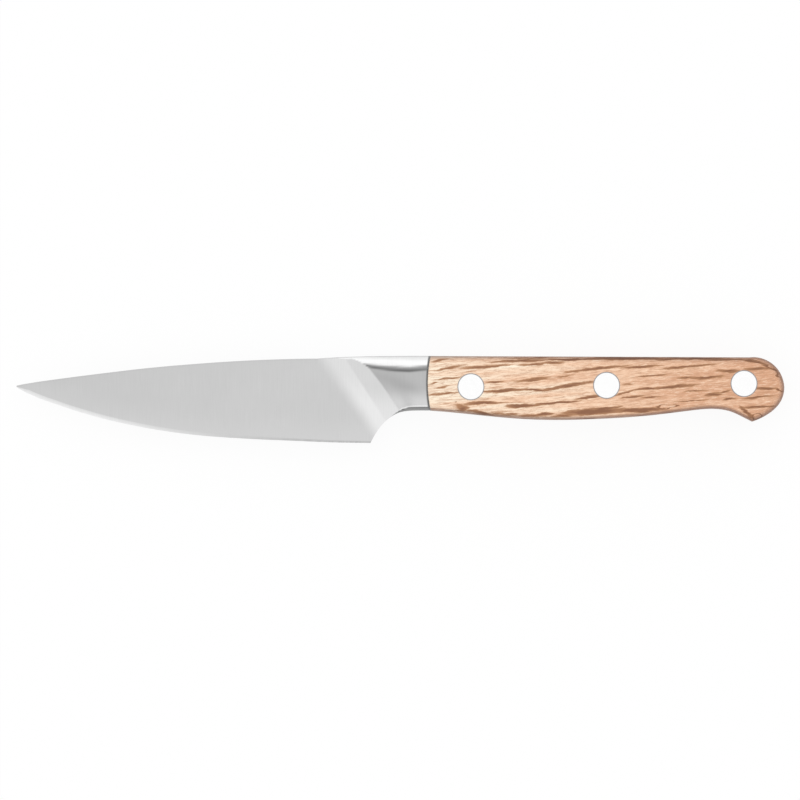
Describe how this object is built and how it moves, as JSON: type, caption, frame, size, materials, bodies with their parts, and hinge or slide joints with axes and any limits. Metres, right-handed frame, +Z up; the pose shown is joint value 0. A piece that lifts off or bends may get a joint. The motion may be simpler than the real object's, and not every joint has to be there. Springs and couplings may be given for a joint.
{
  "type": "paring knife",
  "caption": "Forged paring knife: a tapered pointed blade, a flared bolster, and a full tang riveted between two wooden scales.",
  "frame": {"origin": "under the middle of the knife's length and depth, on the surface it lies on", "axes": "+X from the point to the butt, +Y from the cutting edge to the spine, +Z up, away from the surface it lies on"},
  "size_m": [0.2168, 0.0246, 0.0146],
  "materials": {
    "blade_steel": "satin ground blade, polished bolster",
    "handle_wood": "oiled light brown wood with dark flecks",
    "rivet_steel": "polished level with the wood"
  },
  "bodies": {
    "root": {"forged_blade": "blade_steel", "right_scale": "handle_wood", "left_scale": "handle_wood", "front_rivet_post": "rivet_steel", "front_rivet_cap": "rivet_steel", "middle_rivet_post": "rivet_steel", "middle_rivet_cap": "rivet_steel", "rear_rivet_post": "rivet_steel", "rear_rivet_cap": "rivet_steel"}
  },
  "joints": []
}
